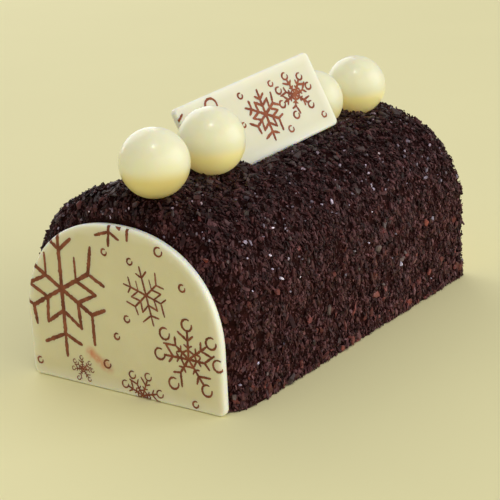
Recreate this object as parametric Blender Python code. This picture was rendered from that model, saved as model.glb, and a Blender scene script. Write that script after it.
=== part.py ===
"""Yule log cake: a flake-coated log between two white chocolate end plates, with balls and a plaque on top.

Blender 4.5, metres, +Z up. The log lies along X. The origin is under the middle of the whole, on the surface
that the cake stands on. The near end plate faces -X and the plaque looks towards -Y.
"""

import math

import bmesh
import bpy

MM = 0.001

# Log: a half-round loaf with upright sides, its near end well rounded where the end plate is pressed on.
LOG_WIDTH = 89.2 * MM
LOG_HEIGHT = 69.9 * MM
LOG_LENGTH = 162.8 * MM
LOG_UPRIGHT = 31.2 * MM
LOG_ROUNDNESS = 2.10
NEAR_ROUNDING = 10.3 * MM
FAR_ROUNDING = 3.0 * MM
ARCH_STEPS = 56
NEAR_STEPS = 6
FAR_STEPS = 3
BODY_STEPS = 4

# End plates: cast white chocolate with the same kind of outline, standing on the base line.
PLATE_WIDTH = 84.2 * MM
PLATE_HEIGHT = 60.5 * MM
PLATE_UPRIGHT = 22.0 * MM
PLATE_ROUNDNESS = 2.20
PLATE_THICKNESS = 3.0 * MM
PLATE_CORNER = 2.7 * MM
PLATE_CORNER_STEPS = 5
PLATE_EDGE = 0.9 * MM
PLATE_ARCH_STEPS = 44

# Balls: radius, distance along from the near plate's face, distance across the ridge, depth pressed in.
BALLS = {
    "ball_1": (12.0 * MM, 13.2 * MM, -9.0 * MM, 1.4 * MM),
    "ball_2": (12.1 * MM, 45.5 * MM, -8.9 * MM, 1.2 * MM),
    "ball_3": (12.0 * MM, 127.5 * MM, 1.6 * MM, 4.6 * MM),
    "ball_4": (12.0 * MM, 151.1 * MM, -4.1 * MM, 2.4 * MM),
}
BALL_SIDES = 32
BALL_RINGS = 16

# Plaque: a rounded slab that leans back on ball_3, with its low end pushed into the log behind ball_2.
PLAQUE_WIDTH = 71.3 * MM
PLAQUE_HEIGHT = 30.3 * MM
PLAQUE_THICKNESS = 2.8 * MM
PLAQUE_CORNER = 1.9 * MM
PLAQUE_CORNER_STEPS = 4
PLAQUE_EDGE = 0.7 * MM
PLAQUE_ALONG = 83.3 * MM
PLAQUE_ACROSS = -2.3 * MM
PLAQUE_ABOVE_LOG = 10.1 * MM
PLAQUE_TURN = math.radians(13.0)
PLAQUE_LEAN = math.radians(23.5)
PLAQUE_TILT = math.radians(8.5)

# Shared values: the gap between pieces that touch, a rim's steps, the angle below which faces shade smooth.
GAP = 0.3 * MM
EDGE_STEPS = 3
SMOOTH_BELOW = math.radians(40)
TINY = 0.01 * MM

WHOLE_LENGTH = LOG_LENGTH + 2 * (PLATE_THICKNESS + GAP)
NEAR_FACE = -WHOLE_LENGTH / 2

DARK_CHOCOLATE = (0.030, 0.013, 0.009)
WHITE_CHOCOLATE = (0.70, 0.60, 0.33)


def clear_scene():
    for item in list(bpy.data.objects):
        bpy.data.objects.remove(item)


def principled(name, colour, roughness):
    material = bpy.data.materials.new(name)
    material.use_nodes = True
    shader = material.node_tree.nodes["Principled BSDF"]
    shader.inputs["Base Color"].default_value = (*colour, 1.0)
    shader.inputs["Roughness"].default_value = roughness
    shader.inputs["Metallic"].default_value = 0.0
    return material


def add_object(name, make_shape, material=None):
    """Object whose mesh is made by make_shape(bm)."""
    bm = bmesh.new()
    make_shape(bm)
    bmesh.ops.recalc_face_normals(bm, faces=bm.faces)
    mesh = bpy.data.meshes.new(name)
    bm.to_mesh(mesh)
    bm.free()
    mesh.shade_smooth()
    mesh.set_sharp_from_angle(angle=SMOOTH_BELOW)
    if material is not None:
        mesh.materials.append(material)
    item = bpy.data.objects.new(name, mesh)
    bpy.context.scene.collection.objects.link(item)
    return item


def cut(target, cutter):
    """Boolean difference that keeps the cutter as a wire helper."""
    cutter.hide_render = True
    cutter.display_type = "WIRE"
    modifier = target.modifiers.new(cutter.name, "BOOLEAN")
    modifier.operation = "DIFFERENCE"
    modifier.solver = "EXACT"
    modifier.object = cutter


def signed_power(value, exponent):
    return math.copysign(abs(value) ** exponent, value)


def arch_outline(width, height, upright, roundness, steps):
    """Points (y, z) of a loaf's end: up one side, over a superellipse arch and down the other side."""
    half = width / 2
    points = [(-half, 0.0)]
    for step in range(steps + 1):
        angle = math.pi * step / steps
        across = -half * signed_power(math.cos(angle), 2 / roundness)
        above = (height - upright) * abs(math.sin(angle)) ** (2 / roundness)
        points.append((across, upright + above))
    points.append((half, 0.0))
    return points


def log_height_at(across):
    """Height of the log's surface at a distance across its ridge."""
    rest = 1 - (abs(across) / (LOG_WIDTH / 2)) ** LOG_ROUNDNESS
    return LOG_UPRIGHT + (LOG_HEIGHT - LOG_UPRIGHT) * rest ** (1 / LOG_ROUNDNESS)


def log_sections():
    """Pairs (x, shrink) along the log: shrink is how far the outline draws in where an end is rounded."""
    start = NEAR_FACE + PLATE_THICKNESS + GAP
    body_start = start + NEAR_ROUNDING
    body_length = LOG_LENGTH - NEAR_ROUNDING - FAR_ROUNDING
    end = start + LOG_LENGTH
    pairs = []
    for step in range(NEAR_STEPS):
        angle = math.pi / 2 * step / NEAR_STEPS
        pairs.append((start + NEAR_ROUNDING * (1 - math.cos(angle)), NEAR_ROUNDING * (1 - math.sin(angle))))
    for step in range(BODY_STEPS + 1):
        pairs.append((body_start + body_length * step / BODY_STEPS, 0.0))
    for step in range(1, FAR_STEPS + 1):
        angle = math.pi / 2 * step / FAR_STEPS
        pairs.append((end - FAR_ROUNDING * (1 - math.sin(angle)), FAR_ROUNDING * (1 - math.cos(angle))))
    return pairs


def make_log(bm):
    """Skin over the sections, each of them the same outline drawn in towards the middle of the base."""
    outline = arch_outline(LOG_WIDTH, LOG_HEIGHT, LOG_UPRIGHT, LOG_ROUNDNESS, ARCH_STEPS)
    rings = []
    for x, shrink in log_sections():
        narrow = 1 - shrink / (LOG_WIDTH / 2)
        low = 1 - shrink / LOG_HEIGHT
        rings.append([bm.verts.new((x, y * narrow, z * low)) for y, z in outline])
    for ring, following in zip(rings, rings[1:]):
        for index in range(len(outline)):
            after = (index + 1) % len(outline)
            bm.faces.new((ring[index], ring[after], following[after], following[index]))
    bm.faces.new(rings[0])
    bm.faces.new(rings[-1])


def in_a_broad_face(edge, axis, distance):
    """True for an edge that lies all in one of the two faces at +-distance along an axis."""
    first, second = (vertex.co[axis] for vertex in edge.verts)
    return abs(abs(first) - distance) < TINY and abs(first - second) < TINY


def soften_rim(bm, axis, distance, width):
    """Round the whole rim of both broad faces of a slab."""
    rim = [edge for edge in bm.edges if in_a_broad_face(edge, axis, distance)]
    bmesh.ops.bevel(bm, geom=rim, offset=width, segments=EDGE_STEPS, profile=0.5, affect="EDGES")


def make_plate(bm):
    """Slab centred on x = 0, with rounded lower corners and a softened rim."""
    outline = arch_outline(PLATE_WIDTH, PLATE_HEIGHT, PLATE_UPRIGHT, PLATE_ROUNDNESS, PLATE_ARCH_STEPS)
    first_face = bm.faces.new([bm.verts.new((-PLATE_THICKNESS / 2, y, z)) for y, z in outline])
    extruded = bmesh.ops.extrude_face_region(bm, geom=[first_face])
    moved = [item for item in extruded["geom"] if isinstance(item, bmesh.types.BMVert)]
    bmesh.ops.translate(bm, vec=(PLATE_THICKNESS, 0, 0), verts=moved)
    lower_corners = [
        edge
        for edge in bm.edges
        if all(vertex.co.z < TINY for vertex in edge.verts) and edge.calc_length() < PLATE_WIDTH / 2
    ]
    bmesh.ops.bevel(
        bm, geom=lower_corners, offset=PLATE_CORNER, segments=PLATE_CORNER_STEPS, profile=0.5, affect="EDGES"
    )
    soften_rim(bm, 0, PLATE_THICKNESS / 2, PLATE_EDGE)


def make_slab(bm, width, thickness, height):
    bmesh.ops.create_cube(bm, size=1.0)
    bmesh.ops.scale(bm, vec=(width, thickness, height), verts=bm.verts)


def make_plaque(bm):
    """Slab centred on its middle: width along X, thickness along Y, height along Z."""
    make_slab(bm, PLAQUE_WIDTH, PLAQUE_THICKNESS, PLAQUE_HEIGHT)
    through = [edge for edge in bm.edges if abs(edge.verts[0].co.y - edge.verts[1].co.y) > TINY]
    bmesh.ops.bevel(
        bm, geom=through, offset=PLAQUE_CORNER, segments=PLAQUE_CORNER_STEPS, profile=0.5, affect="EDGES"
    )
    soften_rim(bm, 1, PLAQUE_THICKNESS / 2, PLAQUE_EDGE)


def make_ball(bm, radius):
    bmesh.ops.create_uvsphere(bm, u_segments=BALL_SIDES, v_segments=BALL_RINGS, radius=radius)


def place_plaque(item):
    item.location = (NEAR_FACE + PLAQUE_ALONG, PLAQUE_ACROSS, LOG_HEIGHT + PLAQUE_ABOVE_LOG)
    item.rotation_mode = "YXZ"
    item.rotation_euler = (-PLAQUE_LEAN, -PLAQUE_TILT, -PLAQUE_TURN)


def build_plates(material):
    """Both plates come from one mould, one at each end of the log."""
    middle = (WHOLE_LENGTH - PLATE_THICKNESS) / 2
    for name, x in (("end_plate_near", -middle), ("end_plate_far", middle)):
        add_object(name, make_plate, material).location.x = x


def build_balls(material, log):
    for name, (radius, along, across, pressed) in BALLS.items():
        place = (NEAR_FACE + along, across, log_height_at(across) + radius - pressed)
        add_object(name, lambda bm: make_ball(bm, radius), material).location = place
        pocket = add_object(name + "_pocket", lambda bm: make_ball(bm, radius + GAP))
        pocket.location = place
        cut(log, pocket)


def build_plaque(material, log):
    place_plaque(add_object("plaque", make_plaque, material))
    room = (PLAQUE_WIDTH + 2 * GAP, PLAQUE_THICKNESS + 2 * GAP, PLAQUE_HEIGHT + 2 * GAP)
    slot = add_object("plaque_slot", lambda bm: make_slab(bm, *room))
    place_plaque(slot)
    cut(log, slot)


def build():
    clear_scene()
    crust = principled("dark_chocolate_flakes", DARK_CHOCOLATE, 0.55)
    white = principled("white_chocolate", WHITE_CHOCOLATE, 0.35)
    log = add_object("log", make_log, crust)
    build_plates(white)
    build_balls(white, log)
    build_plaque(white, log)


build()
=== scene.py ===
"""Looks of the yule log cake: flake crust, cast white chocolate plates, balls and plaque, printed snowflakes.

Blender 4.5. Lengths are worked out in millimetres and turned into metres when a mesh is made. The log lies
along X, its near end plate faces -X, and its plaque looks towards -Y.
"""

import math

import bmesh
import bpy
import numpy as np
from mathutils import Euler, Matrix, Vector, noise
from mathutils.geometry import delaunay_2d_cdt


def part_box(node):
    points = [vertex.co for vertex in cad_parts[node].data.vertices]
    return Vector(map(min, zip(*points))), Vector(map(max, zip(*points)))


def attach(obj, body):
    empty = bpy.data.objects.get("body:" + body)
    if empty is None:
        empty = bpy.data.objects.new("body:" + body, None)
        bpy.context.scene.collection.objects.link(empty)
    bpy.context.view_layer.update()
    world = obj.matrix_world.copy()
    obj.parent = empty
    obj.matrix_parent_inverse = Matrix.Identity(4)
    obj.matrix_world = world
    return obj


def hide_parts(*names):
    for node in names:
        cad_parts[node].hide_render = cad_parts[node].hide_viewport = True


MM = 0.001
SEED = 1224

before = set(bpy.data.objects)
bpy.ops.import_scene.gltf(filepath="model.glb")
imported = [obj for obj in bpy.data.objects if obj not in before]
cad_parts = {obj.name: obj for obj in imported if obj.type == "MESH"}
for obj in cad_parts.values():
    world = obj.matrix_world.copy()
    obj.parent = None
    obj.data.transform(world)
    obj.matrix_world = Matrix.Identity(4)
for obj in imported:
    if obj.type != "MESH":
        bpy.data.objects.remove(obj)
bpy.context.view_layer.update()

# The log, as the CAD has it.
LOG_WIDTH = 89.2
LOG_HEIGHT = 69.9
LOG_UPRIGHT = 31.2
LOG_ROUNDNESS = 2.10
LOG_START, LOG_END = (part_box("log")[side][0] / MM for side in (0, 1))
NEAR_ROUNDING = 10.3
FAR_ROUNDING = 3.0
FACE_SHOWS = 12.0

# The plates and the plaque, as the CAD has them.
PLATE_WIDTH = 84.2
PLATE_HEIGHT = 60.5
PLATE_UPRIGHT = 22.0
PLATE_ROUNDNESS = 2.20
PLATE_THICKNESS = 3.0
PLATE_CORNER = 2.7
PLATE_RIM = 1.0
PLAQUE_WIDTH = 71.3
PLAQUE_HEIGHT = 30.3
PLAQUE_THICKNESS = 2.8
PLAQUE_CORNER = 1.9
PLAQUE_RIM = 0.8
PLAQUE_HALF = np.array((PLAQUE_WIDTH, PLAQUE_THICKNESS, PLAQUE_HEIGHT)) / 2
PLAQUE_PLACE = np.array((-1.4, -2.3, 80.0))
PLAQUE_TURNED = np.array(Euler((math.radians(-23.5), math.radians(-8.5), math.radians(-13.0)), "YXZ").to_matrix())

# The crust.
CORE_SPACING = 0.8
BODY_SECTIONS = 190
TOUCH = 0.12
BALL_NAMES = ("ball_1", "ball_2", "ball_3", "ball_4")


def ball_place(name):
    """Centre and radius of a ball, in millimetres."""
    low, high = (np.array(corner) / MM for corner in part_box(name))
    return (low + high) / 2, (high[2] - low[2]) / 2


BALLS = {name: ball_place(name) for name in BALL_NAMES}


# ---- meshes


def add_object(name, data):
    """The data as an object in the scene."""
    made = bpy.data.objects.new(name, data)
    bpy.context.scene.collection.objects.link(made)
    return made


def add_piece(name, mesh, material):
    """The mesh as an object in the scene, riding on the body."""
    mesh.materials.append(material)
    item = add_object(name, mesh)
    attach(item, "root")
    return item


def add_mesh(name, points, faces, material, smooth=True, rim=None):
    """Piece from points in millimetres and faces. rim is a value per point for its material."""
    mesh = bpy.data.meshes.new(name)
    mesh.from_pydata((points * MM).tolist(), [], faces)
    mesh.update()
    mesh.polygons.foreach_set("use_smooth", [smooth] * len(mesh.polygons))
    if rim is not None:
        mesh.attributes.new("rim", "FLOAT", "POINT").data.foreach_set("value", rim)
    return add_piece(name, mesh, material)


def along_path(points, spacing):
    """Points at even spacing along a polyline."""
    points = np.asarray(points, float)
    steps = np.linalg.norm(np.diff(points, axis=0), axis=1)
    length = np.concatenate(([0.0], np.cumsum(steps)))
    count = max(2, round(length[-1] / spacing) + 1)
    wanted = np.linspace(0.0, length[-1], count)
    return np.stack([np.interp(wanted, length, points[:, axis]) for axis in range(points.shape[1])], axis=1)


ARCH_POINTS = 361


def arch(width, height, upright, roundness):
    """Points (across, up) of a loaf's end above its uprights, from left to right."""
    angle = np.linspace(0.0, math.pi, ARCH_POINTS)
    bend = 2 / roundness
    across = -np.sign(np.cos(angle)) * np.abs(np.cos(angle)) ** bend * width / 2
    up = upright + (height - upright) * np.sin(angle).clip(0) ** bend
    return np.column_stack((across, up))


def noise_at(points, size, octaves=2):
    """Smooth noise of about -1 to 1 with features of the given size."""
    return np.array([noise.fractal(Vector(p) / size, 1.0, 2.0, octaves) for p in points])


def unit(vectors):
    """Each vector at length 1."""
    return vectors / np.linalg.norm(vectors, axis=-1, keepdims=True).clip(1e-9)


# ---- crust core


def quarter(rounding):
    """Angles over a quarter turn, a core spacing apart on that rounding."""
    return np.linspace(0, math.pi / 2, math.ceil(rounding * math.pi / 2 / CORE_SPACING) + 1)


def log_sections():
    """Pairs (x, shrink) along the log, as the CAD draws its outline in where an end is rounded.

    They go on over the far end's flat face, which shows round its plate.
    """
    near, far = quarter(NEAR_ROUNDING), quarter(FAR_ROUNDING)
    body = np.linspace(LOG_START + NEAR_ROUNDING, LOG_END - FAR_ROUNDING, BODY_SECTIONS)
    face = np.arange(FAR_ROUNDING + CORE_SPACING, FACE_SHOWS, CORE_SPACING)
    x = np.concatenate((
        LOG_START + NEAR_ROUNDING * (1 - np.cos(near[:-1])),
        body,
        LOG_END - FAR_ROUNDING * (1 - np.sin(far[1:])),
        np.full(len(face), LOG_END),
    ))
    shrink = np.concatenate((
        NEAR_ROUNDING * (1 - np.sin(near[:-1])),
        np.zeros(len(body)),
        FAR_ROUNDING * (1 - np.cos(far[1:])),
        face,
    ))
    return x, shrink


def grid_normals(grid):
    """Outward unit normals of a grid of points (along, around)."""
    return unit(np.cross(np.gradient(grid, axis=0), np.gradient(grid, axis=1)))


def plaque_local(points):
    """Points in the plaque's own axes: width, thickness (front is negative), height."""
    return (points - PLAQUE_PLACE) @ PLAQUE_TURNED


def push_out_of_balls(points, normals):
    """Press the balls in: a point inside one goes down along its normal to the ball's skin."""
    for centre, radius in BALLS.values():
        offset = points - centre
        along = np.einsum("ij,ij->i", offset, normals)
        inside = (radius + TOUCH) ** 2 - np.einsum("ij,ij->i", offset, offset)
        depth = along + np.sqrt((along**2 + inside).clip(0))
        points = np.where((inside > 0)[:, None], points - normals * depth[:, None], points)
    return points


def push_out_of_plaque(points):
    """Open the trench that the plaque stands in: a point inside it goes straight down to its foot or side."""
    half = PLAQUE_HALF + TOUCH
    local = plaque_local(points)
    inside = (np.abs(local) < half).all(axis=1)
    down = np.array((0.0, 0.0, -1.0)) @ PLAQUE_TURNED
    way_out = (np.sign(down) * half - local) / down
    depth = np.where(inside, way_out.min(axis=1), 0.0)
    return points - np.outer(depth, (0.0, 0.0, 1.0))


DENT_FROM = -23.0
DENT_FADE = 4.0
DENT_SLOPE = 0.42
DENT_BELOW = 1.2
DENT_BEHIND = 1.0
DENT_BEFORE = 14.0
DENT_PAST = 6.0


def dent_before_plaque(points):
    """Lower the crust in front of the plaque's foot, where it was pressed down so that the foot shows."""
    foot = PLAQUE_HALF * ((-1, -1, -1), (1, -1, -1))
    start, end = foot @ PLAQUE_TURNED.T + PLAQUE_PLACE
    length = np.linalg.norm((end - start)[:2])
    line = (end - start)[:2] / length
    away = np.array((line[1], -line[0]))
    offset = points[:, :2] - start[:2]
    run = offset @ line
    distance = offset @ away
    foot_height = start[2] + (end[2] - start[2]) * run / length
    limit = foot_height - DENT_BELOW + DENT_SLOPE * distance.clip(0)
    wanted = np.minimum(points[:, 2], limit)
    share = ((run - length / 2 - DENT_FROM) / DENT_FADE).clip(0, 1)
    near = (distance > -PLAQUE_THICKNESS - DENT_BEHIND) & (distance < DENT_BEFORE)
    near &= (run < length + DENT_PAST) & (points[:, 2] > LOG_UPRIGHT)
    lowered = points[:, 2] + (wanted - points[:, 2]) * share * near
    return np.column_stack((points[:, :2], lowered))


# The crust's unevenness, as sizes across and heights. It is sunk on the whole, to leave room for the flakes.
CLUMP_SIZE, CLUMP_HEIGHT = 3.4, 0.85
BROAD_SIZE, BROAD_HEIGHT = 14, 0.40
FINE_SIZE, FINE_HEIGHT = 1.7, 0.25
FOOT_SIZE, FOOT_HEIGHT, FOOT_TO = 7.0, 0.7, 5
SUNK = 0.35
SUNK_FROM = 1.5
END_FADE = 2


def core_grid():
    """The crust's ground as a grid (along, around), with its smooth normals and how far each point is on a clump."""
    side = LOG_WIDTH / 2
    curve = arch(LOG_WIDTH, LOG_HEIGHT, LOG_UPRIGHT, LOG_ROUNDNESS)
    outline = along_path(np.vstack(((-side, 0.0), curve, (side, 0.0))), CORE_SPACING)
    x, shrink = log_sections()
    narrow = 1 - shrink / side
    low = 1 - shrink / LOG_HEIGHT
    grid = np.stack((
        np.repeat(x[:, None], len(outline), axis=1),
        outline[None, :, 0] * narrow[:, None],
        outline[None, :, 1] * low[:, None],
    ), axis=2)
    normals = grid_normals(grid)
    flat = grid.reshape(-1, 3)
    flat_normals = normals.reshape(-1, 3)
    clumps = noise_at(flat * (1, 1, 0.8) + 50, CLUMP_SIZE, 3)
    lumps = BROAD_HEIGHT * noise_at(flat, BROAD_SIZE) + CLUMP_HEIGHT * clumps
    lumps += FINE_HEIGHT * noise_at(flat + 90, FINE_SIZE)
    foot = FOOT_HEIGHT * noise_at(flat * (1, 1, 0), FOOT_SIZE) * (1 - flat[:, 2] / FOOT_TO).clip(0, 1)
    ends = np.minimum(flat[:, 0] - LOG_START, LOG_END - flat[:, 0]).clip(0, END_FADE) / END_FADE
    amount = ((lumps - SUNK) * (flat[:, 2] / SUNK_FROM).clip(0, 1) + foot) * ends
    flat = flat + flat_normals * amount[:, None]
    flat = push_out_of_plaque(dent_before_plaque(flat))
    flat = push_out_of_balls(flat, flat_normals)
    flat[:, 2] = flat[:, 2].clip(0)
    return flat.reshape(grid.shape), normals, clumps.reshape(grid.shape[:2])


def build_core(grid, material):
    """Closed mesh: the grid, its flat base and its two ends."""
    rows, columns = grid.shape[:2]
    index = np.arange(rows * columns).reshape(rows, columns)
    quads = np.stack((index[:-1, :-1], index[1:, :-1], index[1:, 1:], index[:-1, 1:]), axis=2).reshape(-1, 4)
    base = np.stack((index[:-1, 0], index[:-1, -1], index[1:, -1], index[1:, 0]), axis=1)
    faces = [*quads.tolist(), *base.tolist(), index[0].tolist(), index[-1, ::-1].tolist()]
    item = add_mesh("crust_core", grid.reshape(-1, 3), faces, material)
    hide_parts("log")


# ---- flakes


CLUMPING = 0.8
EVEN_SHARE = 0.7
DENSITY_RANGE = (0.3, 1.5)


def surface_samples(rng, ground, count, weight):
    """Random places on the grid, denser on its clumps: points and unit normals."""
    grid, normals, clumps = ground
    corner = grid[:-1, :-1]
    across = grid[:-1, 1:] - corner
    along = grid[1:, :-1] - corner
    area = np.linalg.norm(np.cross(across, along), axis=2) * weight(corner)
    area = area * (EVEN_SHARE + CLUMPING * clumps[:-1, :-1]).clip(*DENSITY_RANGE)
    chosen = rng.choice(area.size, size=count, p=(area / area.sum()).ravel())
    row, column = np.unravel_index(chosen, area.shape)
    u = rng.random((count, 1))
    v = rng.random((count, 1))
    points = corner[row, column] + across[row, column] * u + along[row, column] * v
    return points, normals[row, column]


LEVEL_SLOPE = 0.05
WANDER_POWER = 1.5
ROLL_SHARE = 1.3


def flake_axes(rng, normals, spread, pitch):
    """Rotation of each flake: its length runs down the slope, give or take, and its tip lifts off by the pitch."""
    down = np.tile((0.0, 0.0, -1.0), (len(normals), 1))
    down = down - normals * np.einsum("ij,ij->i", down, normals)[:, None]
    steep = np.linalg.norm(down, axis=1)
    sideways = np.cross(normals, (1.0, 0.0, 0.0))
    down = unit(np.where((steep > LEVEL_SLOPE)[:, None], down, sideways))
    aside = np.cross(normals, down)
    wander = spread + (math.pi / 2 - spread) * (1 - steep).clip(0, 1) ** WANDER_POWER
    turn = rng.normal(0, 1, len(normals)) * wander
    length = down * np.cos(turn)[:, None] + aside * np.sin(turn)[:, None]
    lift = rng.normal(0, pitch, len(normals))[:, None]
    roll = rng.normal(0, pitch * ROLL_SHARE, len(normals))[:, None]
    along = length * np.cos(lift) + normals * np.sin(lift)
    across = unit(np.cross(normals, along))
    up = np.cross(along, across)
    tipped = across * np.cos(roll) + up * np.sin(roll)
    return np.stack((along, tipped, np.cross(along, tipped)), axis=2)


# How unevenly the forms are made, as deviations in their unit sizes.
SHAVING_ROUGH = 0.05
SHAVING_WIDTH = 0.16
SHAVING_BEND = 0.7
SHAVING_SWAY = 0.16
CHIP_TURN = 0.22
CHIP_REACH = 0.16
CHIP_LEVEL = 0.25
CHIP_TOP = 0.82
CRUMB_REACH = 0.18
CRUMB_ROUGH = 0.08


def shaving_form(rng, count):
    """Bent strips: three stations along, four corners each. Points (count, 12, 3) in unit sizes and triangles."""
    stations = ((-0.5, 0.32), (0.0, 0.5), (0.5, 0.34))
    corners = ((-1, -0.5), (1, -0.5), (0.8, 0.5), (-0.8, 0.5))
    form = np.array([(along, side * width, level) for along, width in stations for side, level in corners])
    points = np.repeat(form[None], count, axis=0)
    points[:, :, 0] += rng.normal(0, SHAVING_ROUGH, points.shape[:2])
    points[:, :, 1] *= 1 + rng.normal(0, SHAVING_WIDTH, points.shape[:2])
    points[:, 4:8, 2] += rng.normal(0, SHAVING_BEND, (count, 1))
    points[:, 4:8, 1] += rng.normal(0, SHAVING_SWAY, (count, 1))
    triangles = []
    for station in (0, 4):
        for corner in range(4):
            a, b = station + corner, station + (corner + 1) % 4
            triangles += [(a, b, b + 4), (a, b + 4, a + 4)]
    triangles += [(0, 2, 1), (0, 3, 2), (8, 9, 10), (8, 10, 11)]
    return points, np.array(triangles)


def chip_form(rng, count, corners=5):
    """Broken chips: an uneven polygon with a slightly smaller top."""
    angle = np.linspace(0, 2 * math.pi, corners, endpoint=False)
    angle = angle + rng.normal(0, CHIP_TURN, (count, corners)) + rng.random((count, 1)) * 6
    reach = 0.5 * (1 + rng.normal(0, CHIP_REACH, (count, corners)))
    flat = np.stack((np.cos(angle) * reach, np.sin(angle) * reach), axis=2)
    bottom = np.concatenate((flat, np.full((count, corners, 1), -0.5)), axis=2)
    top = np.concatenate((flat * CHIP_TOP, 0.5 + rng.normal(0, CHIP_LEVEL, (count, corners, 1))), axis=2)
    triangles = []
    for corner in range(corners):
        after = (corner + 1) % corners
        triangles += [(corner, after, corners + after), (corner, corners + after, corners + corner)]
    for corner in range(1, corners - 1):
        triangles += [(0, corner + 1, corner), (corners, corners + corner, corners + corner + 1)]
    return np.concatenate((bottom, top), axis=1), np.array(triangles)


def crumb_form(rng, count):
    """Small crumbs: uneven grains of eight faces."""
    form = np.array(((1, 0, 0), (-1, 0, 0), (0, 1, 0), (0, -1, 0), (0, 0, 1), (0, 0, -1))) * 0.5
    points = np.repeat(form[None], count, axis=0) * (1 + rng.normal(0, CRUMB_REACH, (count, 6, 1)))
    points = points + rng.normal(0, CRUMB_ROUGH, points.shape)
    faces = [(0, 2, 4), (2, 1, 4), (1, 3, 4), (3, 0, 4), (2, 0, 5), (1, 2, 5), (3, 1, 5), (0, 3, 5)]
    return points, np.array(faces)


def within_plate(points, margin):
    """True for points that an end plate covers, seen along the log."""
    share = (np.abs(points[..., 1]) / (PLATE_WIDTH / 2 + margin)).clip(0, 1)
    rise = (1 - share**PLATE_ROUNDNESS) ** (1 / PLATE_ROUNDNESS)
    top = PLATE_UPRIGHT + (PLATE_HEIGHT + margin - PLATE_UPRIGHT) * rise
    return (share < 1) & (points[..., 2] < top)


# How far flakes stay from what they lie against, and how far they stand out on the far face.
BALL_GAP = 0.02
END_GAP = 0.1
FLOOR_GAP = 0.03
FACE_PROUD = 1.1


def clear_of_things(points):
    """True for each form whose points all stay clear of the balls, the plaque and the end plates."""
    at_plate = (points[..., 0] > LOG_END - END_GAP / 2) & within_plate(points, END_GAP)
    clear = (points[..., 0] > LOG_START + END_GAP / 2).all(axis=1) & ~at_plate.any(axis=1)
    for centre, radius in BALLS.values():
        clear &= (np.linalg.norm(points - centre, axis=2) > radius + BALL_GAP).all(axis=1)
    clear &= (np.abs(plaque_local(points)) > PLAQUE_HALF + BALL_GAP).any(axis=2).all(axis=1)
    return clear


SIZE_SPREAD = 0.28
WHOLE_RANGE = (0.5, 2.0)
LEAST_SHARE, MOST_SHARE = 0.4, 2.0


def everywhere(corner):
    """Weight that strews flakes evenly."""
    return 1.0


def scatter(name, rng, ground, count, form, sizes, proud, spread, pitch, material, weight=everywhere):
    """One kind of flake: count of them strewn over the crust.

    sizes are (mean, deviation) of length, width and thickness. proud is the least and most that a flake's middle
    stands off the ground, and spread and pitch are how far it turns and tips, in radians.
    """
    places, facing = surface_samples(rng, ground, count, weight)
    axes = flake_axes(rng, facing, spread, pitch)
    whole = np.exp(rng.normal(0, SIZE_SPREAD, count)).clip(*WHOLE_RANGE)
    size = []
    for mean, deviation in sizes:
        size.append(rng.normal(mean, deviation, count).clip(mean * LEAST_SHARE, mean * MOST_SHARE) * whole)
    shapes, triangles = form(rng, count)
    places = places + facing * rng.uniform(*proud, (count, 1))
    points = np.einsum("nij,nkj->nki", axes, shapes * np.stack(size, axis=1)[:, None, :]) + places[:, None, :]
    points[..., 2] += (FLOOR_GAP - points[..., 2].min(axis=1)).clip(0)[:, None]
    points[..., 0] += (LOG_START + END_GAP - points[..., 0].min(axis=1)).clip(0)[:, None]
    limit = LOG_END + np.where(within_plate(points, 2 * END_GAP).any(axis=1), -END_GAP, FACE_PROUD)
    points[..., 0] -= (points[..., 0].max(axis=1) - limit).clip(0)[:, None]
    points = points[clear_of_things(points)]
    offsets = (np.arange(len(points)) * points.shape[1])[:, None, None]
    faces = (triangles[None] + offsets).reshape(-1, 3).tolist()
    item = add_mesh(name, points.reshape(-1, 3), faces, material, smooth=False)


# ---- slabs and prints


BLUNT = math.radians(75)
OUTLINE_SPACING = 0.7
PLAQUE_SPACING = 0.6


def rounded_polygon(points, radius, steps, spacing):
    """A closed polygon of (across, up) with its sharp corners rounded by arcs, at even spacing."""
    points = np.asarray(points, float)
    made = []
    for index, point in enumerate(points):
        before = points[index - 1] - point
        after = points[(index + 1) % len(points)] - point
        before, after = before / np.linalg.norm(before), after / np.linalg.norm(after)
        half = math.acos(np.clip(before @ after, -1, 1)) / 2
        if half > BLUNT:
            made.append(point)
            continue
        reach = radius / math.tan(half)
        middle = point + (before + after) / np.linalg.norm(before + after) * radius / math.sin(half)
        first, last = point + before * reach - middle, point + after * reach - middle
        for step in range(steps + 1):
            share = step / steps
            arm = first * (1 - share) + last * share
            made.append(middle + arm / np.linalg.norm(arm) * radius)
    made.append(made[0])
    return along_path(made, spacing)[:-1]


def plate_outline():
    """An end plate's outline, its foot at 0 and its middle at 0 across."""
    side = PLATE_WIDTH / 2
    curve = arch(PLATE_WIDTH, PLATE_HEIGHT, PLATE_UPRIGHT, PLATE_ROUNDNESS)
    return rounded_polygon(np.vstack(((-side, 0.0), (side, 0.0), curve[::-1])), PLATE_CORNER, 8, OUTLINE_SPACING)


def plaque_outline():
    """The plaque's outline round its middle."""
    corners = PLAQUE_HALF[[0, 2]] * ((1, -1), (1, 1), (-1, 1), (-1, -1))
    return rounded_polygon(corners, PLAQUE_CORNER, 6, PLAQUE_SPACING)


def edge_distance(points, outline):
    """Distance from each point to a closed outline."""
    best = np.full(len(points), np.inf)
    for origin, along in zip(outline, np.roll(outline, -1, axis=0) - outline):
        share = (((points - origin) @ along) / (along @ along)).clip(0, 1)
        gap = np.linalg.norm(points - origin - share[:, None] * along, axis=1)
        best = np.minimum(best, gap)
    return best


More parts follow.
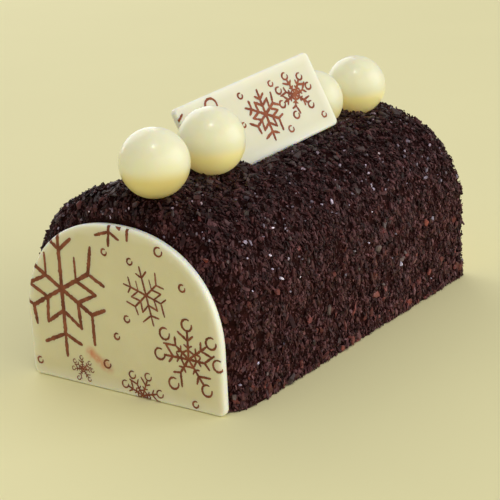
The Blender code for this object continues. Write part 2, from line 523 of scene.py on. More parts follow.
def inset(outline, amount):
    """The outline drawn in by an amount."""
    along = np.roll(outline, -1, axis=0) - np.roll(outline, 1, axis=0)
    inward = np.column_stack((-along[:, 1], along[:, 0]))
    area = np.sum(outline[:, 0] * np.roll(outline[:, 1], -1) - np.roll(outline[:, 0], -1) * outline[:, 1])
    return outline + unit(inward) * amount * np.sign(area)


# Width in millimetres and falloff of the painted highlight along a slab's rim.
RIM_HIGHLIGHT_WIDTH = 3.2
RIM_HIGHLIGHT_POWER = 1.5
RIM_ANGLES = (22, 45, 67, 90)
RIM_MARGINS = (0.7, 1.4)
LATTICE = 2.4
SWELL_SIZE = 16


class Slab:
    """A cast slab: outline, thickness and a rounded rim, with a faint unevenness."""

    def __init__(self, outline, thickness, rim, uneven, seed):
        self.outline, self.half, self.rim = outline, thickness / 2, rim
        self.uneven, self.seed = uneven, seed

    def level(self, points):
        """Height of the face at points (across, up)."""
        short = (self.rim - edge_distance(points, self.outline)).clip(0, self.rim)
        drop = self.rim - np.sqrt((self.rim**2 - short**2).clip(0))
        places = np.column_stack((points, np.full(len(points), self.seed)))
        return self.half - drop + self.uneven * noise_at(places, SWELL_SIZE)

    def build(self):
        """Points (across, up, level) and faces of the closed slab, and how strongly the painted highlight along its
        rim lies on each point, 0 to 1.
        """
        steps = [self.rim * (1 - math.cos(math.radians(angle))) for angle in RIM_ANGLES]
        loops = [self.outline] + [inset(self.outline, step) for step in (*steps, self.rim + RIM_MARGINS[0])]
        inner = inset(self.outline, self.rim + RIM_MARGINS[1])
        low, high = inner.min(axis=0), inner.max(axis=0)
        across, up = np.meshgrid(*(np.arange(low[i], high[i], LATTICE) for i in (0, 1)))
        lattice = np.column_stack((across.ravel(), up.ravel()))
        points = np.vstack((*loops, lattice[inside_outline(lattice, inner)]))
        edges, start = [], 0
        for loop in loops:
            count = len(loop)
            edges += [(start + i, start + (i + 1) % count) for i in range(count)]
            start += count
        rim_face = list(range(len(self.outline)))
        flat, _, faces, *_ = delaunay_2d_cdt([Vector(p) for p in points], edges, [rim_face], 1, 1e-5, False)
        flat = np.array([tuple(p) for p in flat])
        faces = [list(face) for face in faces]
        front = self.level(flat)
        distance = edge_distance(flat, self.outline)
        on_rim = distance < 1e-3
        # How strongly the painted highlight along the rim lies on each point.
        rim_highlight = (1 - distance / RIM_HIGHLIGHT_WIDTH).clip(0) ** RIM_HIGHLIGHT_POWER
        front[on_rim] = self.half - self.rim
        behind = np.column_stack((flat, np.full(len(flat), self.seed + 9)))
        back = 2 * self.uneven * noise_at(behind, SWELL_SIZE) - front
        back[on_rim] = self.rim - self.half
        return *closed_sheet(flat, front, back, faces), np.concatenate((rim_highlight, rim_highlight))


def inside_outline(points, outline):
    """True for points inside a closed outline."""
    inside = np.zeros(len(points), bool)
    following = np.roll(outline, -1, axis=0)
    for (x1, y1), (x2, y2) in zip(outline, following):
        crosses = (y1 > points[:, 1]) != (y2 > points[:, 1])
        rise = y2 - y1 if abs(y2 - y1) > 1e-12 else 1e-12
        inside ^= crosses & (points[:, 0] < x1 + (points[:, 1] - y1) * (x2 - x1) / rise)
    return inside


def boundary_edges(faces):
    """Directed edges that only one face has."""
    edges = {(face[i - 1], face[i]) for face in faces for i in range(len(face))}
    return [(a, b) for a, b in sorted(edges) if (b, a) not in edges]


def closed_sheet(flat, front, back, faces):
    """Points and faces of the solid between two heights over a flat mesh."""
    count = len(flat)
    solid = np.vstack((np.column_stack((flat, front)), np.column_stack((flat, back))))
    made = faces + [[i + count for i in face[::-1]] for face in faces]
    made += [[b, a, a + count, b + count] for a, b in boundary_edges(faces)]
    return solid, made


# ---- snowflake strokes


# Arms of a star flake: (degrees, length, prongs at its end), each prong (turn in degrees, length).
STAR_ARMS = (
    (90, 0.95, ((52, 0.42), (-52, 0.49), (0, 0.60))),
    (30, 0.97, ((49, 0.66), (-57, 0.50))),
    (-30, 1.00, ((54, 0.42), (-59, 0.72))),
    (-90, 1.10, ((-65, 0.70), (67, 0.51), (0, 0.55))),
    (-150, 1.07, ((-61, 0.60), (68, 0.45))),
    (150, 1.05, ((-59, 0.54), (5, 0.47), (76, 0.37))),
)
STAR_NODE = 0.53
STAR_TIP = 1.02
CURL_RING = 0.17
CURL_FORK = 0.54
CURL_HUB = 0.27
CURL_BUD = 0.33
CURL_OPENS = (8, 62)
CURL_ARMS = (90, 142, 181, 235, 305, 359, 397)
PLAQUE_ARMS = (46, 158, 196, 244, 294, 346)
STROKE_ROUGH = 0.11
STROKE_WANDER = 0.035
RING_POINTS = 22
RING_TAPER = 0.55


def heading(angle):
    """Direction at an angle in radians."""
    return np.array((math.cos(angle), math.sin(angle)))


class Print:
    """Brush strokes of a snowflake print, as outlines in a plane."""

    def __init__(self, seed):
        self.rng = np.random.default_rng(seed)
        self.outlines = []

    def stroke(self, path, width, taper=0.75):
        """A stroke along a path, a little rough, with rounded ends that are taper times as wide."""
        path = along_path(path, max(0.35, width * 0.45))
        count = len(path)
        along = unit(np.gradient(path, axis=0))
        normal = np.column_stack((-along[:, 1], along[:, 0]))
        share = np.linspace(-1, 1, count)
        half = width / 2 * (taper + (1 - taper) * (1 - share**4)) * (1 + self.rng.normal(0, STROKE_ROUGH, count))
        path = path + self.rng.normal(0, STROKE_WANDER * width, path.shape)
        left = path + normal * half[:, None]
        right = path - normal * half[:, None]
        caps = []
        for end, ahead, size in ((path[-1], along[-1], half[-1]), (path[0], -along[0], half[0])):
            side = np.array((ahead[1], -ahead[0]))
            angles = np.radians((45, 90, 135))
            caps.append([end + size * (side * math.cos(a) + ahead * math.sin(a)) for a in angles])
        self.outlines.append(np.vstack((right, caps[0], left[::-1], caps[1])))

    def ring(self, centre, radius, width, opens=CURL_OPENS):
        """An open ring like a crescent, thick opposite its opening."""
        start, end = math.radians(opens[1]), math.radians(opens[0] + 360)
        angle = np.linspace(start, end, RING_POINTS)
        path = np.asarray(centre) + radius * np.column_stack((np.cos(angle), np.sin(angle)))
        self.stroke(path, width, RING_TAPER)

    def fork(self, base, direction, prongs, scale, width):
        """Short strokes from one point, each (turn in degrees from the direction, length)."""
        for turn, length in prongs:
            self.stroke((base, base + scale * length * heading(direction + math.radians(turn))), width)

    def star(self, centre, scale, turn, width, whole=False):
        """A six-armed star flake. Its upper rhombi are cut to short uprights, unless whole."""
        centre = np.asarray(centre, float)

        def at(degrees, distance):
            return centre + scale * distance * heading(math.radians(degrees + turn))

        for degrees, reach, prongs in STAR_ARMS:
            end = at(degrees, reach)
            self.stroke((centre, end), width, 1.0)
            self.fork(end, math.radians(degrees + turn), prongs, scale, width * 0.9)
        for degrees in (0, 180, -60, -120, *((60, 120) if whole else ())):
            tip = at(degrees, STAR_TIP)
            for side in (-30, 30):
                self.stroke((at(degrees + side, STAR_NODE), tip), width * 0.9)
        if not whole:
            for degrees in (30, 150):
                node = at(degrees, STAR_NODE)
                self.stroke((node, node + scale * 0.55 * heading(math.radians(90 + turn))), width * 0.6)

    def curl(self, centre, scale, turn, width, arms, ring=CURL_RING, opens=CURL_OPENS):
        """A flake whose arms end in open rings, joined on every other arm."""
        centre = np.asarray(centre, float)
        for number, degrees in enumerate(arms):
            angle = math.radians(degrees + turn)
            ahead = heading(angle)
            joined = number % 2 == 0
            reach = (1 - ring if joined else CURL_FORK) * scale
            self.stroke((centre, centre + ahead * reach), width)
            self.fork(centre + ahead * CURL_BUD * scale, angle, ((58, 0.15), (-58, 0.15)), scale, width * 0.75)
            side = 1 if number % 4 < 2 else -1
            prongs = ((56 * side, 0.40), (-50 * side, 0.24)) if joined else ((38, 0.42), (-48, 0.24))
            self.fork(centre + ahead * CURL_FORK * scale, angle, prongs, scale, width * 0.9)
            self.ring(centre + ahead * scale, ring * scale, width * 0.85, opens)
            following = math.radians(arms[(number + 1) % len(arms)] + turn)
            if (following - angle) % (2 * math.pi) < math.pi / 2:
                onward = heading(following)
                self.stroke((centre + ahead * CURL_HUB * scale, centre + onward * CURL_HUB * scale), width * 0.8)


# Scale and stroke width of each of the sheet's flakes, and the stroke width of its loose rings.
STAR_SIZES = ((15.0, 1.55), (6.4, 0.7), (9.0, 1.2))
CURL_SIZES = ((12.0, 0.92), (4.3, 0.4), (7.9, 0.66))
RING_WIDTH = 0.68


def sheet_print(seed, stars, curls, rings):
    """A plate's snowflakes: stars and curls as (across, up, turn), and rings as (across, up, radius).

    Places are in millimetres from the plate's left foot as one looks at it.
    """
    marks = Print(seed)
    for (*place, turn), (scale, width) in zip(stars, STAR_SIZES):
        marks.star(place, scale, turn, width)
    for (*place, turn), (scale, width) in zip(curls, CURL_SIZES):
        marks.curl(place, scale, turn, width, CURL_ARMS)
    for *place, radius in rings:
        marks.ring(place, radius, RING_WIDTH)
    return marks


def near_print():
    """The near plate's print."""
    stars = ((16.8, 34.4, 0), (54.4, 38.0, 13), (41.3, 68.0, -7))
    curls = ((70.6, 18.3, 0), (23.5, 5.8, 4), (49.8, 1.2, -22))
    rings = (
        (37.4, 50.7, 1.1), (48.3, 48.9, 1.1), (60.7, 54.0, 1.55), (69.7, 42.9, 1.2), (45.3, 28.1, 1.15),
        (40.3, 21.0, 1.1), (35.0, 9.9, 1.45), (3.5, 5.6, 1.15), (72.4, 2.5, 1.15),
    )
    return sheet_print(3, stars, curls, rings)


def far_print():
    """The far plate's print: the same sheet, cut from another place."""
    stars = ((60.5, 22.0, -4), (27.0, 49.0, 22), (8.0, 2.0, 10))
    curls = ((16.5, 27.0, 6), (39.5, 38.0, -9), (56.0, 57.5, 14))
    rings = (
        (38.0, 22.0, 1.15), (30.5, 9.0, 1.5), (41.0, 5.5, 1.1), (38.0, 51.0, 1.1), (75.0, 43.5, 1.2),
        (9.0, 44.0, 1.15), (80.0, 5.0, 1.15),
    )
    return sheet_print(5, stars, curls, rings)


def plaque_print():
    """The plaque's print, from its middle: a curl flake behind the second ball and small flakes beside it."""
    marks = Print(7)
    marks.curl((-27.0, 2.6), 11.4, 0, 1.1, PLAQUE_ARMS, 0.24, (-84, -30))
    marks.stroke(((-36.6, 9.9), (-35.0, 10.9), (-33.0, 12.2)), 0.9)
    marks.star((3.2, -0.2), 6.2, -4, 1.1, True)
    marks.curl((20.8, 1.8), 8.0, 8, 0.95, CURL_ARMS)
    rings = ((11.6, 9.4, 1.1), (-4.6, 9.8, 1.1), (11.9, -9.2, 1.2), (30.4, -9.6, 1.1), (-8.7, -0.4, 0.9))
    for *place, radius in rings:
        marks.ring(place, radius, 0.7)
    return marks


FILM = 0.05
RIM_SHARES = (0.12, 0.4, 0.7, 1.0)


def print_solid(slab, marks, shift):
    """Closed thin film of the strokes that lie on the slab's face: points (across, up, level) and faces."""
    rims = [inset(slab.outline, slab.rim * share) for share in RIM_SHARES]
    points, edges, faces = [], [], []

    def add_loop(loop, as_face):
        ring = list(range(len(points), len(points) + len(loop)))
        points.extend(loop)
        if as_face:
            faces.append(ring)
        else:
            edges.extend((ring[i - 1], ring[i]) for i in range(len(ring)))

    add_loop(rims[0], True)
    for rim in rims[1:]:
        add_loop(rim, False)
    for outline in marks.outlines:
        moved = outline + shift
        if inside_outline(moved, rims[0]).any():
            add_loop(moved, True)
    flat, _, triangles, _, _, owners = delaunay_2d_cdt([Vector(p) for p in points], edges, faces, 1, 1e-5, True)
    flat = np.array([tuple(p) for p in flat])
    kept = [list(face) for face, own in zip(triangles, owners) if 0 in own and len(own) > 1]
    used = sorted({i for face in kept for i in face})
    renumber = {old: new for new, old in enumerate(used)}
    flat = flat[used]
    kept = [[renumber[i] for i in face] for face in kept]
    level = slab.level(flat)
    return closed_sheet(flat, level + FILM, level - FILM, kept)


# ---- materials


def set_inputs(node, values):
    """Give a node's own sockets their values, by name."""
    for name, value in values.items():
        node.inputs[name].default_value = value


def new_material(name, roughness, specular):
    """A node material, its tree and its shader."""
    material = bpy.data.materials.new(name)
    material.use_nodes = True
    shader = material.node_tree.nodes["Principled BSDF"]
    set_inputs(shader, {"Roughness": roughness, "Specular IOR Level": specular})
    return material, material.node_tree, shader


def add_node(tree, kind, **values):
    """A node with the given inputs or settings."""
    node = tree.nodes.new(kind)
    for name, value in values.items():
        if name in node.inputs:
            node.inputs[name].default_value = value
        else:
            setattr(node, name, value)
    return node


def ramp(tree, factor, stops):
    """Colour ramp over a factor, from (position, colour) stops."""
    node = tree.nodes.new("ShaderNodeValToRGB")
    elements = node.color_ramp.elements
    while len(elements) < len(stops):
        elements.new(0.5)
    for element, (position, colour) in zip(elements, stops):
        element.position = position
        element.color = (*colour, 1.0)
    tree.links.new(factor, node.inputs["Fac"])
    return node.outputs["Color"]


def noise_node(tree, scale, detail=3.0):
    """Noise in object coordinates, with features about 1 / scale metres across."""
    place = tree.nodes.new("ShaderNodeTexCoord")
    node = add_node(tree, "ShaderNodeTexNoise", Scale=scale, Detail=detail)
    tree.links.new(place.outputs["Object"], node.inputs["Vector"])
    return node.outputs["Fac"]


def add_bump(tree, shader, height, strength, distance):
    """Fine relief from a pattern, distance metres high."""
    node = add_node(tree, "ShaderNodeBump", Strength=strength, Distance=distance)
    tree.links.new(height, node.inputs["Height"])
    tree.links.new(node.outputs["Normal"], shader.inputs["Normal"])


def map_range(tree, factor, span, low, high, kind="LINEAR"):
    """A value socket over its span, taken to between low and high."""
    node = add_node(tree, "ShaderNodeMapRange", interpolation_type=kind)
    set_inputs(node, {"From Min": span[0], "From Max": span[1], "To Min": low, "To Max": high})
    tree.links.new(factor, node.inputs["Value"])
    return node.outputs["Result"]


def set_range(tree, shader, socket, factor, low, high):
    """Set a shader's value socket from a pattern, between low and high."""
    tree.links.new(map_range(tree, factor, (0.0, 1.0), low, high), shader.inputs[socket])


def times(tree, colour, other):
    """The product of two colour sockets."""
    node = add_node(tree, "ShaderNodeMix", data_type="RGBA", blend_type="MULTIPLY")
    node.inputs["Factor"].default_value = 1.0
    tree.links.new(colour, node.inputs["A"])
    tree.links.new(other, node.inputs["B"])
    return node.outputs["Result"]


# Tones that multiply the flakes' own: painted light and shade over the log's height, and two noises as (scale,
# stops).
PAINTED_SHADE_BY_HEIGHT = ((0.45, (1.69, 1.65, 1.73)), (0.97, (0.81, 0.61, 0.61)))
PATCHES = (230.0, ((0.35, (0.66, 0.64, 0.65)), (0.65, (1.32, 1.32, 1.32))))
MOTTLE = (420.0, ((0.3, (0.62, 0.60, 0.60)), (0.7, (1.26, 1.26, 1.26))))


def flake_material(name, stops, roughness, specular):
    """Chocolate flakes, each its own tone from the stops, with painted light and shade: lighter and greyer low down,
    darker on top.
    """
    material, tree, shader = new_material(name, roughness, specular)
    island = tree.nodes.new("ShaderNodeNewGeometry").outputs["Random Per Island"]
    tone = ramp(tree, island, stops)
    place = tree.nodes.new("ShaderNodeTexCoord")
    height = tree.nodes.new("ShaderNodeSeparateXYZ")
    tree.links.new(place.outputs["Object"], height.inputs["Vector"])
    level = map_range(tree, height.outputs["Z"], (0.0, LOG_HEIGHT * MM), 0.0, 1.0)
    # Painted light and shade: lighter low on the log, darker on top.
    tone = times(tree, tone, ramp(tree, level, PAINTED_SHADE_BY_HEIGHT))
    for scale, tones in (PATCHES, MOTTLE):
        tone = times(tree, tone, ramp(tree, noise_node(tree, scale), tones))
    tree.links.new(tone, shader.inputs["Base Color"])
    set_range(tree, shader, "Roughness", noise_node(tree, 500.0), roughness - 0.12, roughness + 0.18)
    add_bump(tree, shader, noise_node(tree, 2200.0), 0.35, 0.00012)
    return material


def mixed(tree, factor, colour, over):
    """A colour socket mixed towards a plain colour by a factor socket."""
    node = add_node(tree, "ShaderNodeMix", data_type="RGBA")
    tree.links.new(factor, node.inputs["Factor"])
    tree.links.new(colour, node.inputs["A"])
    node.inputs["B"].default_value = (*over, 1.0)
    return node.outputs["Result"]


SMEAR = ((14.2, 12.6, 3.4, 0.85), (11.6, 10.8, 3.2, 0.85), (8.6, 9.4, 3.4, 0.7), (6.4, 8.4, 3.0, 0.5))
SMEAR_TONE = (0.66, 0.19, 0.080)


def smeared(tree, colour):
    """The colour with a soft smear of print ink over it, from spots of (across, up, size, strength)."""
    place = tree.nodes.new("ShaderNodeTexCoord")
    flat = add_node(tree, "ShaderNodeVectorMath", operation="MULTIPLY")
    flat.inputs[1].default_value = (0.0, 1.0, 1.0)
    tree.links.new(place.outputs["Object"], flat.inputs[0])
    lumps = map_range(tree, noise_node(tree, 420.0, 2.0), (0.2, 0.5), 0.0, 1.0)
    for across, up, size, strength in SMEAR:
        spot = add_node(tree, "ShaderNodeVectorMath", operation="DISTANCE")
        tree.links.new(flat.outputs["Vector"], spot.inputs[0])
        spot.inputs[1].default_value = (0.0, across * MM, up * MM)
        fade = map_range(tree, spot.outputs["Value"], (0.0, size * MM), strength, 0.0, "SMOOTHSTEP")
        broken = add_node(tree, "ShaderNodeMath", operation="MULTIPLY")
        tree.links.new(fade, broken.inputs[0])
        tree.links.new(lumps, broken.inputs[1])
        colour = mixed(tree, broken.outputs["Value"], colour, SMEAR_TONE)
    return colour


# Colour of the painted glow low on the balls.
PAINTED_GLOW_TONE = (1.0, 0.76, 0.26)


def white_material(name, tone, shade, depth, gloss, over, smear=False, painted_glow=0.0):
    """Cast white chocolate: cream with a faint mottle, glossy, lit through to the given depth in metres.

    Where the rim value is 1, over is its colour: a painted highlight along slab rims and painted shade low on balls;
    the glow value is the strength of a painted glow there.
    """
    material, tree, shader = new_material(name, 0.34, 0.5)
    colour = ramp(tree, noise_node(tree, 70.0), ((0.3, shade), (0.7, tone)))
    if smear:
        colour = smeared(tree, colour)
    rim = add_node(tree, "ShaderNodeAttribute", attribute_name="rim").outputs["Fac"]
    colour = mixed(tree, rim, colour, over)
    # Painted glow: emission where the rim value is high.
    if painted_glow:
        shader.inputs["Emission Color"].default_value = (*PAINTED_GLOW_TONE, 1.0)
        set_range(tree, shader, "Emission Strength", rim, 0.0, painted_glow)
    tree.links.new(colour, shader.inputs["Base Color"])
    set_inputs(shader, {
        "Subsurface Weight": 0.85, "Subsurface Scale": depth, "Subsurface Radius": (1.0, 0.8, 0.4),
        "Coat Weight": gloss, "Coat Roughness": 0.14,
    })
    set_range(tree, shader, "Roughness", noise_node(tree, 260.0), 0.28, 0.42)
    add_bump(tree, shader, noise_node(tree, 420.0), 0.06, 0.0001)
    return material


def print_material(name, dark, light, specular):
    """Printed cocoa, unevenly thick."""
    material, tree, shader = new_material(name, 0.45, specular)
    tree.links.new(ramp(tree, noise_node(tree, 260.0), ((0.38, dark), (0.66, light))), shader.inputs["Base Color"])
    add_bump(tree, shader, noise_node(tree, 1500.0), 0.2, 0.0001)
    return material


# ---- pieces


def build_slab(name, slab, node, material, axes, place):
    """A slab in the world: axes holds its across, up and outward directions as columns."""
    points, faces, rim = slab.build()
    item = add_mesh(name, points @ axes.T + place, faces, material, rim=rim)
    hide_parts(node)


def build_print(name, slab, marks, shift, material, axes, place):
    """The print on a slab, its marks moved by the shift to the slab's own (across, up)."""
    points, faces = print_solid(slab, marks, np.asarray(shift, float))
    item = add_mesh(name, points @ axes.T + place, faces, material, smooth=False)


PLATE_UNEVEN, PLAQUE_UNEVEN = 0.06, 0.05


def build_plates(whites, ink):
    """Both end plates with their prints. Each is drawn as one sees it from outside, its left foot first."""
    sides = ((-1, "end_plate_near", near_print()), (1, "end_plate_far", far_print()))
    for (side, node, marks), white in zip(sides, whites):
        low, high = (np.array(corner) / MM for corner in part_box(node))
        axes = np.column_stack(((0, side, 0), (0, 0, 1), (side, 0, 0))).astype(float)
        place = np.array(((low[0] + high[0]) / 2, 0.0, 0.0))
        slab = Slab(plate_outline(), PLATE_THICKNESS, PLATE_RIM, PLATE_UNEVEN, side * 20)
        name = node.replace("end_plate_", "") + "_plate"
        build_slab(name, slab, node, white, axes, place)
        build_print(name + "_print", slab, marks, (-PLATE_WIDTH / 2, 0.0), ink, axes, place)


def build_plaque(white, ink):
    """The plaque with its print, leaning as the CAD has it."""
    across, back, up = PLAQUE_TURNED.T
    axes = np.column_stack((across, up, -back))
    slab = Slab(plaque_outline(), PLAQUE_THICKNESS, PLAQUE_RIM, PLAQUE_UNEVEN, 70)
    build_slab("plaque_slab", slab, "plaque", white, axes, PLAQUE_PLACE)
    build_print("plaque_print", slab, plaque_print(), (0.0, 0.0), ink, axes, PLAQUE_PLACE)


# Where the balls' deeper yellow below starts and how far it takes to fill in, in radii: painted shade and reflection
# of the crust.
BALL_SHADE_FROM = 0.02
BALL_SHADE_SPAN = 0.42


def build_ball(name, material):
    """A moulded ball: nearly round and faintly uneven."""
    centre, radius = BALLS[name]
    sphere = bmesh.new()
    bmesh.ops.create_icosphere(sphere, subdivisions=5, radius=1.0)
    directions = np.array([tuple(v.co) for v in sphere.verts])
    faces = [[v.index for v in face.verts] for face in sphere.faces]
    sphere.free()
    uneven = 0.11 * noise_at(directions * 10 + centre, 9) + 0.015 * noise_at(directions * 10 + centre, 2)
    points = centre + directions * (radius + uneven)[:, None]
    # Painted shade: the lower part of the ball takes a deeper yellow, for the crust's shade and dark reflection.
    low = ((BALL_SHADE_FROM - directions[:, 2]) / BALL_SHADE_SPAN).clip(0, 1)
    item = add_mesh(name + "_shell", points, faces, material, rim=low * low * (3 - 2 * low))
    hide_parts(name)


# ---- studio


CAMERA_AIM = np.array((-0.446, 4.771, 27.193))
CAMERA_AWAY = 565.47
CAMERA_AZIMUTH = -54.42
CAMERA_ELEVATION = 17.54
CAMERA_ROLL = math.radians(-2.86)
LENS = 106.0
SENSOR = 36.0
LIGHT_AIM = Vector((0, 0, 0.04))


def direction(azimuth, elevation):
    """Unit direction away from the cake, from degrees round it, where 0 is straight in front, and degrees up."""
    a, e = math.radians(azimuth), math.radians(elevation)
    return np.array((math.sin(a) * math.cos(e), -math.cos(a) * math.cos(e), math.sin(e)))


def build_camera():
    """The camera, rolled a little about its own axis."""
    back = direction(CAMERA_AZIMUTH, CAMERA_ELEVATION)
    right = np.cross((0.0, 0.0, 1.0), back)
    right = right / np.linalg.norm(right)
    up = np.cross(back, right)
    turned_right = right * math.cos(CAMERA_ROLL) + up * math.sin(CAMERA_ROLL)
    turned_up = up * math.cos(CAMERA_ROLL) - right * math.sin(CAMERA_ROLL)
    camera = add_object("camera", bpy.data.cameras.new("camera"))
    camera.data.lens = LENS
    camera.data.sensor_width = SENSOR
    camera.data.clip_start = 0.01
    camera.data.clip_end = 50.0
    turn = Matrix(np.column_stack((turned_right, turned_up, back)).tolist()).to_4x4()
    camera.matrix_world = Matrix.Translation(Vector((CAMERA_AIM + back * CAMERA_AWAY) * MM)) @ turn
    bpy.context.scene.camera = camera


def add_light(name, azimuth, elevation, away, size, watts):
    """A square soft light aimed at the cake."""
    data = bpy.data.lights.new(name, "AREA")
    data.shape = "SQUARE"
    data.size = size
    data.energy = watts
    lamp = add_object(name, data)
    way = Vector(direction(azimuth, elevation))
    lamp.location = LIGHT_AIM + way * away
    lamp.rotation_euler = way.to_track_quat("Z", "Y").to_euler()


# Each light's name, direction in degrees, distance, size and watts.
LIGHTS = (
    ("right", 30, 11, 2.8, 2.6, 42.0),
    ("back", 150, 26, 2.8, 2.4, 27.0),
    ("front", -28, 6, 2.8, 2.4, 18.5),
    ("key", -54, 67, 1.6, 0.24, 3.4),
)
WORLD_STRENGTH = 0.465
FLOOR_TONE = (0.885, 0.822, 0.458)
FLOOR_SHADE = 0.985
FLOOR_REACH = 30.0


def build_studio():
    """Soft white lights, an even white surround and a plain pale floor."""
    for values in LIGHTS:
        add_light(*values)
    world = bpy.data.worlds.new("studio")
    world.use_nodes = True
    set_inputs(world.node_tree.nodes["Background"], {"Color": (1.0, 1.0, 1.0, 1.0), "Strength": WORLD_STRENGTH})
    bpy.context.scene.world = world
    bpy.context.scene.view_settings.view_transform = "Standard"
    material, tree, shader = new_material("paper", 0.8, 0.2)
    shade = tuple(FLOOR_SHADE * part for part in FLOOR_TONE)
    colour = ramp(tree, noise_node(tree, 6.0), ((0.3, FLOOR_TONE), (0.7, shade)))
    tree.links.new(colour, shader.inputs["Base Color"])
    mesh = bpy.data.meshes.new("floor")
    corners = [(x * FLOOR_REACH, y * FLOOR_REACH, 0) for x, y in ((-1, -1), (1, -1), (1, 1), (-1, 1))]
    mesh.from_pydata(corners, [], [(0, 1, 2, 3)])
    mesh.materials.append(material)
    floor = add_object("floor", mesh)
    floor.location.z = -0.0001


# ---- build


# Tones of the flakes, from their darkest to their palest.
# The ground under the flakes is near black: partly its dark chocolate, partly painted shade in the gaps.
GROUND_SHADE = ((0.0, (0.008, 0.0020, 0.0016)), (1.0, (0.018, 0.0050, 0.0040)))
DARK = (
    (0.0, (0.014, 0.0032, 0.0032)), (0.45, (0.035, 0.0095, 0.0092)),
    (0.8, (0.064, 0.022, 0.022)), (1.0, (0.11, 0.052, 0.054)),
)
RED = ((0.0, (0.050, 0.010, 0.009)), (0.7, (0.085, 0.019, 0.016)), (1.0, (0.150, 0.038, 0.028)))
GREY = ((0.0, (0.035, 0.022, 0.019)), (1.0, (0.081, 0.057, 0.051)))
# Frost grains, palest where they stand for glints: partly frost, partly painted glint.
FROST_AND_GLINT = ((0.0, (0.10, 0.085, 0.105)), (0.6, (0.22, 0.20, 0.26)), (0.9, (0.50, 0.48, 0.60)), (1.0, (0.95, 0.95, 1.0)))

# White chocolate: its two tones, how deep light goes in metres, and its gloss.
BALL_LOOK = ((0.89, 0.86, 0.62), (0.87, 0.83, 0.58), 0.014, 0.32)
# The plates' white is darker and yellower than the balls' and the plaque's: painted shade.
PLATE_LOOK_SHADED = ((0.765, 0.705, 0.445), (0.725, 0.665, 0.41), 0.002, 0.35)
PLAQUE_LOOK = ((0.76, 0.74, 0.54), (0.74, 0.71, 0.50), 0.002, 0.35)
# Pale tone of the painted highlight along the slabs' rims.
RIM_HIGHLIGHT_TONE = (0.94, 0.93, 0.80)

# Where each kind of flake gathers.
LOW_FADE = 6.0
RIDGE_FADE = 4.0
BEFORE_AT = (0.0, -9.0, -PLAQUE_HEIGHT / 2)
BEFORE_FADE = 9.0
SHOULDER_AT, SHOULDER_FADE = 56.0, 10.0
CONTACT_FADE = 1.5
CONTACT_GAP = 0.25
PLAQUE_CRUMBS = 0.15


def low_down(corner):
    """Weight that gathers flakes near the base."""
    return 0.25 + 3.0 * np.exp(-corner[..., 2] / LOW_FADE)


def on_top(corner):
    """Weight that gathers flakes on the ridge, and most of all before the plaque."""
    before = np.linalg.norm(plaque_local(corner) * (0.35, 1.0, 1.0) - BEFORE_AT, axis=-1)
    ridge = np.exp(-((corner[..., 2] - LOG_HEIGHT) / RIDGE_FADE) ** 2)
    return ridge + 1.6 * np.exp(-((before / BEFORE_FADE) ** 2)) + 0.03


def on_shoulder(corner):
    """Weight that gathers flakes on the shoulders."""
    return np.exp(-((corner[..., 2] - SHOULDER_AT) / SHOULDER_FADE) ** 2) + 0.07


def near_contact(corner):
    """Weight that gathers crumbs where the balls and the plaque are pressed in."""
    weight = np.zeros(corner.shape[:-1])
    for centre, radius in BALLS.values():
        gap = np.linalg.norm(corner - centre, axis=-1) - radius
        weight += np.exp(-((gap / CONTACT_FADE) ** 2)) * (gap > CONTACT_GAP)
    gap = np.linalg.norm((np.abs(plaque_local(corner)) - PLAQUE_HALF).clip(0), axis=-1)
    return weight + PLAQUE_CRUMBS * np.exp(-((gap / CONTACT_FADE) ** 2)) * (gap > CONTACT_GAP)


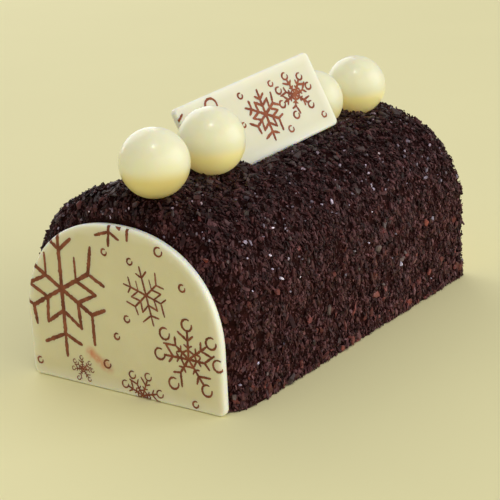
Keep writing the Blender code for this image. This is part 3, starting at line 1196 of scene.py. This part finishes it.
def build_crust():
    """The crust's ground and every kind of flake on it."""
    rng = np.random.default_rng(SEED)
    ground = core_grid()
    build_core(ground[0], flake_material("crust_gap_shade", GROUND_SHADE, 0.7, 0.05))
    dark = flake_material("chocolate_flakes", DARK, 0.45, 0.22)
    red = flake_material("red_brown_flakes", RED, 0.45, 0.35)
    grey = flake_material("dull_flakes", GREY, 0.45, 0.4)
    frost = flake_material("frost_and_painted_glints", FROST_AND_GLINT, 0.3, 0.5)
    scatter("crust_shavings", rng, ground, 8800, shaving_form, ((1.8, 0.45), (0.86, 0.2), (0.36, 0.08)),
            (0.05, 0.75), 0.36, 0.28, dark)
    scatter("crust_splinters", rng, ground, 8600, shaving_form, ((1.5, 0.4), (0.5, 0.12), (0.3, 0.07)),
            (0.05, 0.75), 0.32, 0.28, dark)
    scatter("crust_chips", rng, ground, 12000, chip_form, ((1.35, 0.35), (0.9, 0.22), (0.28, 0.07)),
            (0.05, 0.80), 0.5, 0.33, dark)
    scatter("crust_crumbs", rng, ground, 24000, crumb_form, ((0.78, 0.2), (0.56, 0.12), (0.42, 0.1)),
            (0.25, 1.0), 0.6, 0.5, dark)
    scatter("piled_crumbs", rng, ground, 2600, chip_form, ((1.25, 0.35), (0.9, 0.22), (0.40, 0.1)),
            (0.3, 1.7), 1.2, 0.6, dark, near_contact)
    scatter("red_brown_flakes", rng, ground, 420, chip_form, ((2.6, 0.6), (1.6, 0.35), (0.32, 0.08)),
            (0.5, 1.0), 0.5, 0.30, red, low_down)
    scatter("large_flakes", rng, ground, 560, chip_form, ((2.8, 0.6), (1.8, 0.4), (0.4, 0.1)),
            (0.6, 1.15), 1.2, 0.2, grey, on_top)
    # Gathered on the shoulders, where the glints fall: partly frost, partly painted glint.
    scatter("frost_and_painted_glints", rng, ground, 430, chip_form, ((1.0, 0.3), (0.85, 0.25), (0.4, 0.1)),
            (0.8, 1.2), 1.5, 0.3, frost, on_shoulder)


def build():
    """The camera, the studio and every piece."""
    # The deeper yellow each ball takes low down is painted shade and reflection of the crust.
    first_white = white_material("first_ball_painted_shade", *BALL_LOOK, (0.80, 0.68, 0.29))
    # These balls also get a painted glow in their lower part.
    ball_white = white_material("ball_painted_glow_and_shade", *BALL_LOOK, (0.93, 0.81, 0.38), painted_glow=0.13)
    plaque_white = white_material("plaque_white_chocolate", *PLAQUE_LOOK, RIM_HIGHLIGHT_TONE)
    # The plates' darker white is painted shade.
    far_white = white_material("plate_white_painted_shade", *PLATE_LOOK_SHADED, RIM_HIGHLIGHT_TONE)
    near_white = white_material("smudged_plate_painted_shade", *PLATE_LOOK_SHADED, RIM_HIGHLIGHT_TONE, smear=True)
    ink = print_material("cocoa_print", (0.16, 0.034, 0.012), (0.30, 0.085, 0.034), 0.3)
    # The plaque's ink is a lighter, redder copy of the plates' ink: painted light.
    lit_ink_copy = print_material("painted_lit_cocoa_print", (0.225, 0.045, 0.010), (0.37, 0.105, 0.038), 0.2)
    build_camera()
    build_studio()
    build_plates((near_white, far_white), ink)
    build_plaque(plaque_white, lit_ink_copy)
    for name in BALL_NAMES:
        build_ball(name, first_white if name == BALL_NAMES[0] else ball_white)
    build_crust()


build()
